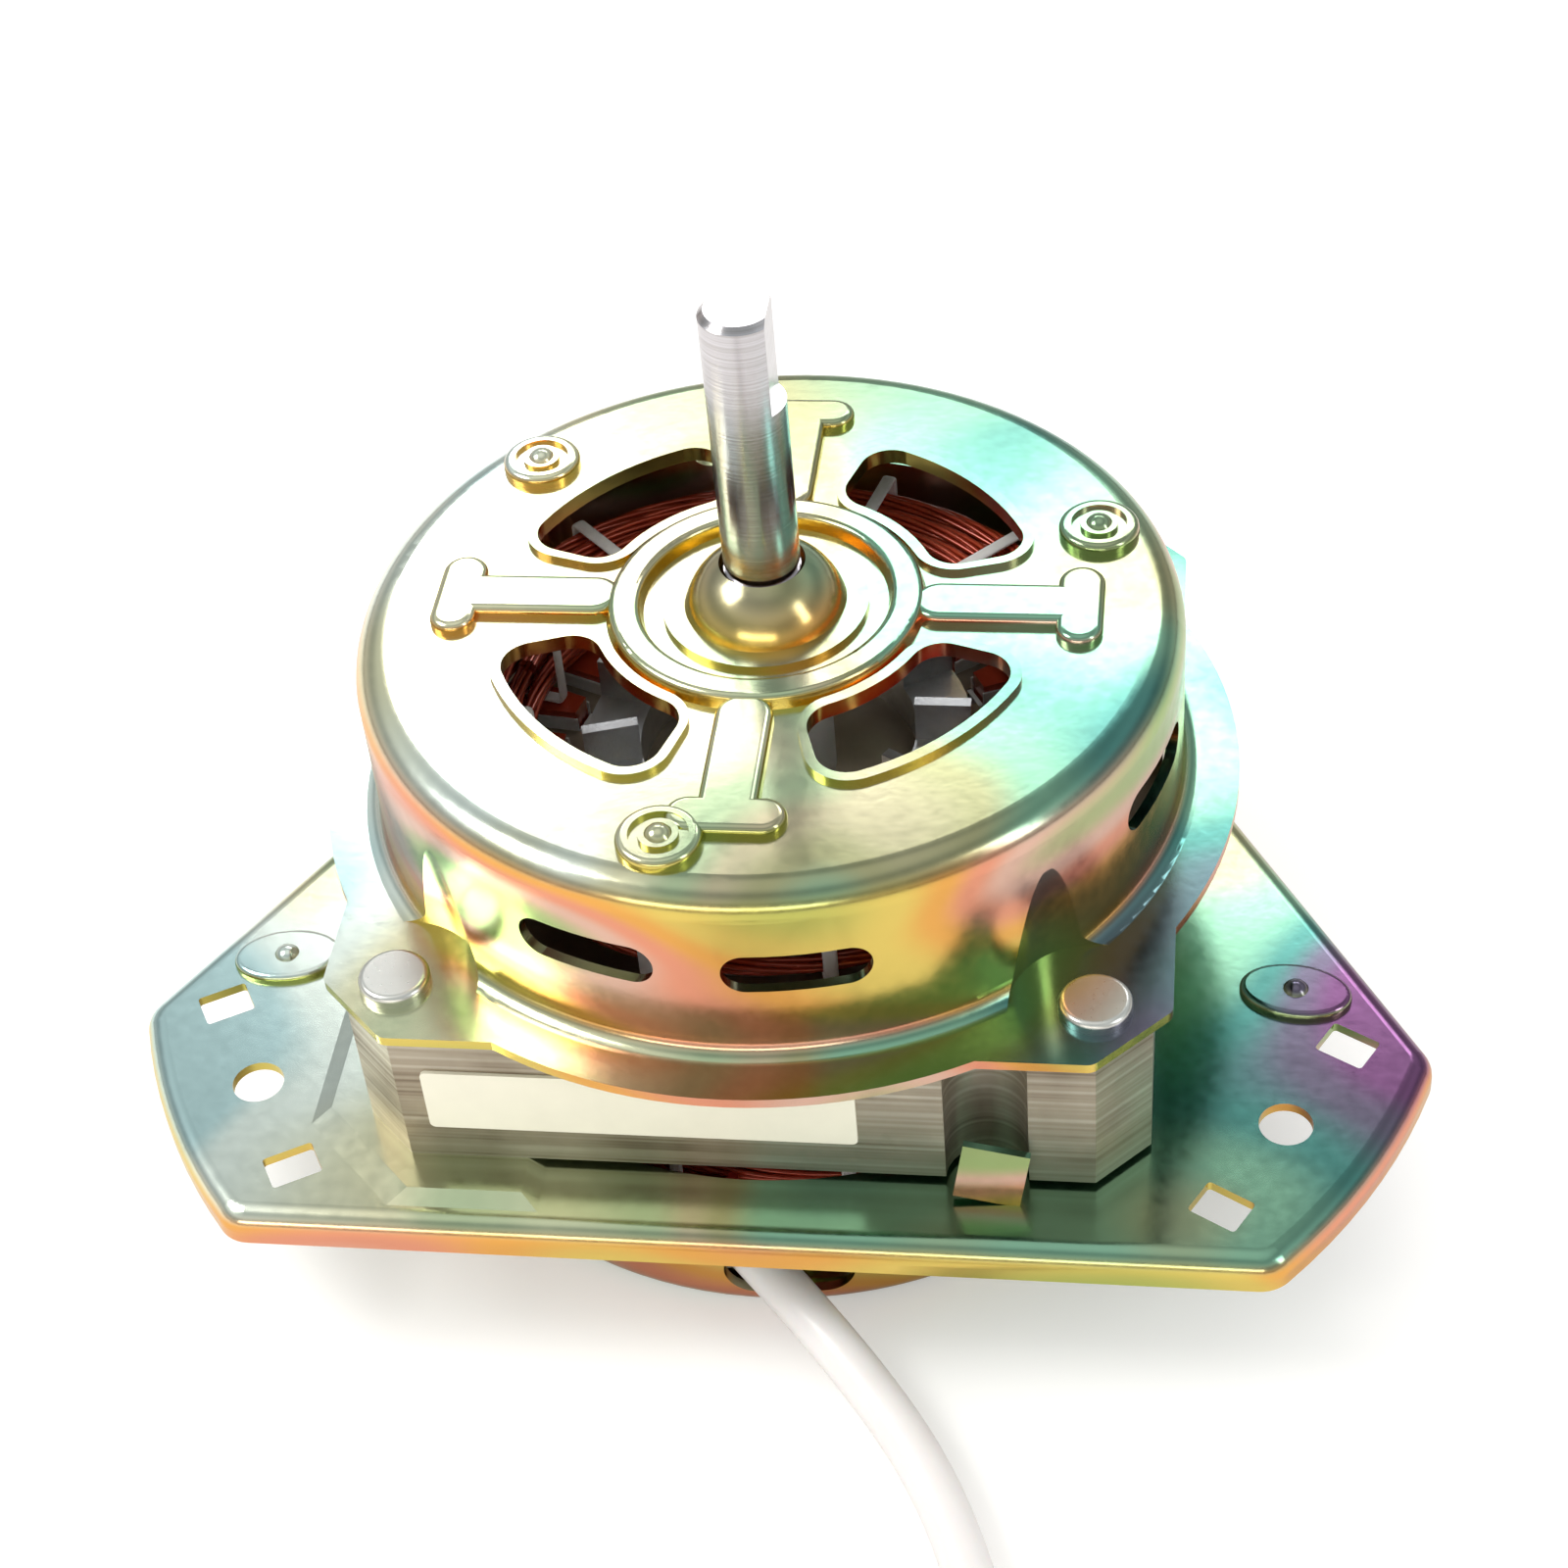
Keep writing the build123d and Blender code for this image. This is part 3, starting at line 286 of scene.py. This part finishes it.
def turnedMaterial(values):
    # Ground shaft: very fine rings round the axis
    material, tree, shader = newMaterial("groundSteel")
    place = tree.nodes.new("ShaderNodeTexCoord").outputs["Object"]
    rings = addNode(tree, "ShaderNodeMapping")
    along = values["alongRing"]
    rings.inputs["Scale"].default_value = (along, along, values["ringsPerMetre"])
    tree.links.new(place, rings.inputs["Vector"])
    shade = noiseOf(tree, rings.outputs["Vector"], 1.0, values["ringDetail"])
    dress(tree, shader, values, rampOf(tree, shade, values["stops"]))
    return material


plainLooks = {
    "bright_zinc": {"colour": (0.74, 0.74, 0.70), "scale": 260.0, "mottle": 0.14, "roughness": 0.30,
                    "uneven": 0.15, "relief": 0.000006, "metal": 1.0},
    "enamelled_wire": {"colour": (0.52, 0.060, 0.022), "scale": 220.0, "mottle": 0.7, "roughness": 0.24,
                       "uneven": 0.15, "relief": 0.00001, "metal": 0.35, "Coat Weight": 0.8,
                       "Coat Roughness": 0.12},
    "lacing_cord": {"colour": (0.97, 0.96, 0.93), "scale": 900.0, "mottle": 0.16, "roughness": 0.75,
                    "uneven": 0.15, "relief": 0.00006, "Sheen Weight": 0.25},
    "insulation_film": {"colour": (0.74, 0.75, 0.72), "scale": 120.0, "mottle": 0.2, "roughness": 0.38,
                        "uneven": 0.2, "relief": 0.00002, "Subsurface Weight": 0.1},
    "insulation_sleeve": {"colour": (0.76, 0.73, 0.64), "scale": 900.0, "mottle": 0.3, "roughness": 0.55,
                          "uneven": 0.2, "relief": 0.00006},
    "cast_aluminium": {"colour": (0.62, 0.63, 0.65), "scale": 420.0, "mottle": 0.3, "roughness": 0.45,
                       "uneven": 0.2, "relief": 0.00006, "metal": 1.0},
    "sintered_bronze": {"colour": (0.42, 0.27, 0.13), "scale": 900.0, "mottle": 0.4, "roughness": 0.42,
                        "uneven": 0.2, "relief": 0.00004, "metal": 1.0},
    "oil_felt": {"colour": (0.50, 0.43, 0.30), "scale": 1400.0, "mottle": 0.5, "roughness": 0.9,
                 "uneven": 0.1, "relief": 0.0002, "Sheen Weight": 0.5},
    "fibre_washer": {"colour": (0.16, 0.08, 0.05), "scale": 500.0, "mottle": 0.4, "roughness": 0.6,
                     "uneven": 0.2, "relief": 0.00004},
    "nylon": {"colour": (0.78, 0.77, 0.71), "scale": 200.0, "mottle": 0.06, "roughness": 0.4,
              "uneven": 0.1, "relief": 0.00002, "Subsurface Weight": 0.15},
    "label_aluminium": {"colour": (0.88, 0.85, 0.70), "scale": 200.0, "mottle": 0.10, "roughness": 0.42,
                        "uneven": 0.2, "relief": 0.00001, "metal": 0.10},
    "white_pvc": {"colour": (0.84, 0.79, 0.78), "scale": 160.0, "mottle": 0.08, "roughness": 0.34,
                  "uneven": 0.12, "relief": 0.00004, "Subsurface Weight": 0.1, "Coat Weight": 0.15},
    "tie_plastic": {"colour": (0.03, 0.03, 0.032), "scale": 300.0, "mottle": 0.2, "roughness": 0.42,
                    "uneven": 0.15, "relief": 0.00002},
    "wire_insulation": {"colour": (0.45, 0.03, 0.02), "scale": 300.0, "mottle": 0.1, "roughness": 0.3,
                        "uneven": 0.1, "relief": 0.00001},
    "tinned_brass": {"colour": (0.72, 0.68, 0.55), "scale": 600.0, "mottle": 0.2, "roughness": 0.3,
                     "uneven": 0.15, "relief": 0.00001, "metal": 1.0},
}


def plainMaterial(name, values):
    material, tree, shader = newMaterial(name)
    dress(tree, shader, values)
    return material


looks = {name: plainMaterial(name, values) for name, values in plainLooks.items()}
looks["yellow_zinc"] = passivatedMaterial(passivation)
looks["lamination"] = laminationMaterial(lamination)
looks["ground_steel"] = turnedMaterial(turnedSteel)

slotOf = {entry["node"]: entry["material_slot"] for entry in frame["record"]["subparts"]}
for name, node in nodes.items():
    for place in node.material_slots:
        place.link = "OBJECT"
        place.material = looks[slotOf[name]]
print("materials on", len(nodes), "nodes")


# New pieces
def gridMesh(points, closedAlong=False):
    # points is rings by sides by 3: neighbouring points are joined into four-sided faces
    rings, sides = points.shape[:2]
    lastRing = rings if closedAlong else rings - 1
    ring, side = np.meshgrid(np.arange(lastRing), np.arange(sides), indexing="ij")
    nextRing, nextSide = (ring + 1) % rings, (side + 1) % sides
    faces = np.stack([
        ring * sides + side, ring * sides + nextSide,
        nextRing * sides + nextSide, nextRing * sides + side,
    ], -1)
    return points.reshape(-1, 3), faces.reshape(-1, 4)


def piece(name, parts, slotName, body, replaced):
    offset = 0
    allPoints, allFaces = [], []
    for points, faces in parts:
        allPoints.append(points)
        allFaces.append(faces + offset)
        offset += len(points)
    mesh = bpy.data.meshes.new(name)
    mesh.from_pydata(np.concatenate(allPoints).tolist(), [], np.concatenate(allFaces).tolist())
    mesh.polygons.foreach_set("use_smooth", np.ones(len(mesh.polygons), bool))
    mesh.materials.append(looks[slotName])
    thing = bpy.data.objects.new(name, mesh)
    scene.collection.objects.link(thing)
    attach(thing, body)
    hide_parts(*replaced)


def unit(vectors):
    return vectors / np.linalg.norm(vectors, axis=1, keepdims=True)


def acrossPath(path):
    # Two directions across the path, the first as near upright as it can be
    along = unit(np.gradient(path, axis=0))
    upright = np.array([0.0, 0.0, 1.0])
    first = unit(upright - along * (along @ upright)[:, None])
    return first, np.cross(along, first)


# End windings: the bundle of the CAD part as separate enamelled wires, twisted round its own line
winding = {
    "innerRadius": 0.0326, "bundle": 0.0024, "pitch": 0.0032, "turns": 4, "layers": 4,
    "upperSeat": 0.02815, "lowerSeat": -0.00285,
    "outerWires": 6, "wireShare": 0.325, "twistLength": 0.055, "pointsPerHalfTurn": 44, "sides": 6,
}
# Name, seat and direction of growth of the winding at each end of the stack
windingEnds = (("upper", winding["upperSeat"], 1), ("lower", winding["lowerSeat"], -1))


def windingPath(values):
    # Half turns about the axis; each eases from one stop's radius and height to the next one's
    band = (values["turns"] - 1) * values["pitch"]
    steps = 2 * values["turns"] - 1
    centre = values["innerRadius"] + values["bundle"] / 2
    stops = []
    for layer in range(values["layers"]):
        for step in range(steps):
            share = step if layer % 2 == 0 else steps - 1 - step
            stops.append((centre + band * share / (steps - 1), layer * values["pitch"]))
    pieces = []
    for number, (start, end) in enumerate(zip(stops, stops[1:])):
        share = np.linspace(0, 1, values["pointsPerHalfTurn"], endpoint=False)
        angle = math.pi * (number + share)
        ease = share * share * (3 - 2 * share)
        radius = start[0] + (end[0] - start[0]) * ease
        height = start[1] + (end[1] - start[1]) * ease
        pieces.append(np.stack([radius * np.cos(angle), radius * np.sin(angle), height], -1))
    return np.concatenate(pieces)


def windingParts(values, seat, facing):
    path = windingPath(values)
    path[:, 2] = seat + facing * (path[:, 2] + values["bundle"] / 2)
    first, second = acrossPath(path)
    travelled = np.concatenate([[0], np.cumsum(np.linalg.norm(np.diff(path, axis=0), axis=1))])
    wireRadius = values["bundle"] / 2 * values["wireShare"]
    offset = values["bundle"] / 2 - wireRadius
    around = np.linspace(0, 2 * math.pi, values["sides"], endpoint=False)
    ring = wireRadius * (np.cos(around)[:, None, None] * first + np.sin(around)[:, None, None] * second)
    parts = []
    for wire in range(values["outerWires"] + 1):
        line = path
        if wire:
            angle = 2 * math.pi * (wire / values["outerWires"] + travelled / values["twistLength"])
            line = path + offset * (np.cos(angle)[:, None] * first + np.sin(angle)[:, None] * second)
        parts.append(gridMesh((line[None] + ring).transpose(1, 0, 2)))
    return parts


for name, seat, facing in windingEnds:
    piece(name + "EndWires", windingParts(winding, seat, facing), "enamelled_wire", "stator",
          [name + "_end_winding"])
print("end windings done")


# Lacing: at each tie, a flat closed band with rounded edges round the bundle
lacing = {
    "count": 12, "width": 0.0019, "thickness": 0.0006, "gap": 0.00005, "sides": 16, "edgePower": 0.6,
    "corner": 0.0006, "cornerPoints": 5,
}


def lacingLine(values, seat, facing):
    # Rectangle round the winding's section whose corners are quarter circles
    bundleOuter = winding["innerRadius"] + (winding["turns"] - 1) * winding["pitch"] + winding["bundle"]
    rise = (winding["layers"] - 1) * winding["pitch"] + winding["bundle"]
    stand = values["thickness"] / 2 + values["gap"]
    low, high = winding["innerRadius"] - stand, bundleOuter + stand
    bottom, top = -stand, rise + stand
    corner = values["corner"]
    centres = [(high - corner, top - corner), (low + corner, top - corner),
               (low + corner, bottom + corner), (high - corner, bottom + corner)]
    points = []
    for number, (x, z) in enumerate(centres):
        angle = np.linspace(0, math.pi / 2, values["cornerPoints"]) + number * math.pi / 2
        points.append(np.stack(
            [x + corner * np.cos(angle), np.zeros_like(angle), z + corner * np.sin(angle)], -1
        ))
    line = np.concatenate(points)
    line[:, 2] = seat + facing * line[:, 2]
    return line


def fullCurve(wave, power):
    # Sine or cosine to a power under one, with its sign kept: this fills out a round section's corners
    return np.sign(wave) * np.abs(wave) ** power


def lacingParts(values, seat, facing):
    line = lacingLine(values, seat, facing)
    along = unit(np.roll(line, -1, 0) - np.roll(line, 1, 0))
    broad = np.array([0.0, 1.0, 0.0])
    outward = np.cross(along, broad)
    around = np.linspace(0, 2 * math.pi, values["sides"], endpoint=False)
    wide = fullCurve(np.cos(around), values["edgePower"]) * values["width"] / 2
    thick = np.sin(around) * values["thickness"] / 2
    section = line[:, None] + wide[None, :, None] * broad + thick[None, :, None] * outward[:, None]
    parts = []
    for number in range(values["count"]):
        # The first tie stands half a step from the X axis
        angle = 2 * math.pi * (number + 0.5) / values["count"]
        cosine, sine = math.cos(angle), math.sin(angle)
        turned = section @ np.array([[cosine, sine, 0], [-sine, cosine, 0], [0, 0, 1]])
        parts.append(gridMesh(turned, closedAlong=True))
    return parts


for name, seat, facing in windingEnds:
    piece(name + "Lacing", lacingParts(lacing, seat, facing), "lacing_cord", "stator",
          [name + "_lacing"])
print("lacing done")


# Felt rings: soft rings whose edges are rounded
felt = {"inner": 0.0098, "outer": 0.0150, "height": 0.0041, "edgePower": 0.35, "sides": 72, "points": 28}


def feltParts(values, node):
    low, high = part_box(node)
    angle = np.linspace(0, 2 * math.pi, values["points"], endpoint=False)
    halfWide = (values["outer"] - values["inner"]) / 2
    middle = values["inner"] + halfWide
    radius = middle + halfWide * fullCurve(np.cos(angle), values["edgePower"])
    height = (low.z + high.z) / 2 + values["height"] / 2 * fullCurve(np.sin(angle), values["edgePower"])
    turnAngle = np.linspace(0, 2 * math.pi, values["sides"], endpoint=False)
    points = np.stack([
        np.cos(turnAngle)[:, None] * radius, np.sin(turnAngle)[:, None] * radius,
        np.broadcast_to(height, (values["sides"], values["points"])),
    ], -1)
    return [gridMesh(points, closedAlong=True)]


for name in ("upper", "lower"):
    node = name + "_felt_ring"
    piece(name + "Felt", feltParts(felt, node), "oil_felt", "stator", [node])
print("felt rings done")


# Lead: one cord from inside the lower bell to its connector, with the unseen length put away in a coil
lead = {
    "route": [(-0.0036, -0.0479, -0.0174), (0.0130, -0.0645, -0.0194), (0.0290, -0.0870, -0.02155),
              (0.0375, -0.1190, -0.02155)],
    "coilCentre": (0.0, -0.150), "coilRadius": 0.0375, "coilPitch": 0.0072, "halfTurns": 3,
    "pointsPerHalfTurn": 8, "tailRadius": 0.0195, "tailPoints": 4, "height": -0.02155,
    "diameter": 0.0065, "length": 0.448, "order": 3, "stepsPerPoint": 10, "stepsPerQuarter": 6,
}


def arcPoints(hub, radius, side, height, span, count):
    # Points on an arc about the hub, without its start, which lies to the hub's +X side or its -X side
    angles = [span * step / count for step in range(1, count + 1)]
    return [(hub[0] + side * radius * math.cos(angle), hub[1] - side * radius * math.sin(angle), height)
            for angle in angles]


def leadPoints(values):
    # Half circles whose centres step along X, then a quarter circle of the tail's radius
    centreX, centreY = values["coilCentre"]
    height, pitch = values["height"], values["coilPitch"]
    side, radius = 1, values["coilRadius"]
    points = [*values["route"], (centreX + radius, centreY, height)]
    for _ in range(values["halfTurns"]):
        inner = radius - pitch / 2
        hub = (centreX + side * pitch / 4, centreY)
        reach = (radius + inner) / 2
        points += arcPoints(hub, reach, side, height, math.pi, values["pointsPerHalfTurn"])
        side, radius = -side, inner
    tail = values["tailRadius"]
    hub = (centreX + side * (radius - tail), centreY)
    return points + arcPoints(hub, tail, side, height, math.pi / 2, values["tailPoints"])


curve = bpy.data.curves.new("leadSleeve", "CURVE")
curve.dimensions = "3D"
curve.bevel_depth = lead["diameter"] / 2
curve.bevel_resolution = lead["stepsPerQuarter"]
curve.resolution_u = lead["stepsPerPoint"]
curve.use_fill_caps = True
spline = curve.splines.new("NURBS")
leadLine = leadPoints(lead)
spline.points.add(len(leadLine) - 1)
for point, place in zip(spline.points, leadLine):
    point.co = (*place, 1)
spline.order_u = lead["order"]
spline.use_endpoint_u = True
curve.materials.append(looks["white_pvc"])
leadObject = bpy.data.objects.new("leadSleeve", curve)
scene.collection.objects.link(leadObject)
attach(leadObject, "stator")
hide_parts("lead_cable", "cable_coil")
print("lead done")

# Floor, soft light and white surroundings
floor = {"half": 1.6, "colour": (0.80, 0.79, 0.77), "roughness": 0.9, "glow": 0.30}
floorMesh = bpy.data.meshes.new("floor")
corners = [(-1, -1), (1, -1), (1, 1), (-1, 1)]
floorMesh.from_pydata([(x * floor["half"], y * floor["half"], floorHeight) for x, y in corners],
                      [], [(0, 1, 2, 3)])
floorMaterial, floorTree, floorShader = newMaterial("floorPaper")
floorShader.inputs["Base Color"].default_value = (*floor["colour"], 1)
floorShader.inputs["Roughness"].default_value = floor["roughness"]
floorShader.inputs["Emission Color"].default_value = (1, 1, 1, 1)
cameraRay = floorTree.nodes.new("ShaderNodeLightPath").outputs["Is Camera Ray"]
glow = mathOf(floorTree, cameraRay, floor["glow"], "MULTIPLY")
floorTree.links.new(glow, floorShader.inputs["Emission Strength"])
floorMesh.materials.append(floorMaterial)
floorObject = bpy.data.objects.new("floor", floorMesh)
scene.collection.objects.link(floorObject)

lights = {
    "keyLeft": {"place": (-0.50, -0.10, 0.62), "size": (0.34, 0.26), "power": 2.6,
                "colour": (1.0, 0.99, 0.97)},
    "fillRight": {"place": (0.70, -0.30, 0.42), "size": (0.16, 0.40), "power": 1.0,
                  "colour": (0.95, 0.98, 1.0)},
    "backStrip": {"place": (0.00, 0.70, 0.62), "size": (0.7, 0.12), "power": 1.5,
                  "colour": (1.0, 1.0, 1.0)},
    "frontLow": {"place": (-0.10, -0.85, 0.22), "size": (0.8, 0.10), "power": 1.1,
                 "colour": (1.0, 0.94, 0.86)},
}
lightTarget = Vector((0, 0, 0.02))
for name, values in lights.items():
    data = bpy.data.lights.new(name, "AREA")
    data.shape = "RECTANGLE"
    data.size, data.size_y = values["size"]
    data.energy = values["power"]
    data.color = values["colour"]
    lamp = bpy.data.objects.new(name, data)
    scene.collection.objects.link(lamp)
    lamp.location = values["place"]
    lamp.rotation_euler = (lightTarget - Vector(values["place"])).to_track_quat("-Z", "Y").to_euler()

# Metal mirrors bands of light and shade; the camera and matt surfaces see white surroundings
surroundings = {
    "stops": [(0.00, (0.30, 0.27, 0.24)), (0.49, (0.30, 0.28, 0.26)), (0.55, (0.60, 0.57, 0.54)),
              (0.68, (0.34, 0.36, 0.36)), (0.80, (0.66, 0.69, 0.69)), (0.92, (0.42, 0.45, 0.45)),
              (1.00, (0.85, 0.86, 0.85))],
    "strength": 1.0,
}
world = bpy.data.worlds.new("studio")
scene.world = world
world.use_nodes = True
tree = world.node_tree
tree.nodes.clear()
direction = tree.nodes.new("ShaderNodeTexCoord").outputs["Generated"]
split = tree.nodes.new("ShaderNodeSeparateXYZ")
tree.links.new(direction, split.inputs[0])
# The direction's Z runs from -1 to 1, the stops from 0 to 1
height = mathOf(tree, mathOf(tree, split.outputs["Z"], 0.5, "MULTIPLY"), 0.5)
mirrored = addNode(tree, "ShaderNodeBackground", Strength=surroundings["strength"])
tree.links.new(rampOf(tree, height, surroundings["stops"]), mirrored.inputs["Color"])
white = addNode(tree, "ShaderNodeBackground", Color=(1, 1, 1, 1), Strength=1.0)
rays = tree.nodes.new("ShaderNodeLightPath").outputs
seen = mathOf(tree, rays["Is Camera Ray"], rays["Is Diffuse Ray"], "MAXIMUM")
choose = tree.nodes.new("ShaderNodeMixShader")
tree.links.new(seen, choose.inputs[0])
tree.links.new(mirrored.outputs[0], choose.inputs[1])
tree.links.new(white.outputs[0], choose.inputs[2])
output = tree.nodes.new("ShaderNodeOutputWorld")
tree.links.new(choose.outputs[0], output.inputs["Surface"])
print("floor and light done")
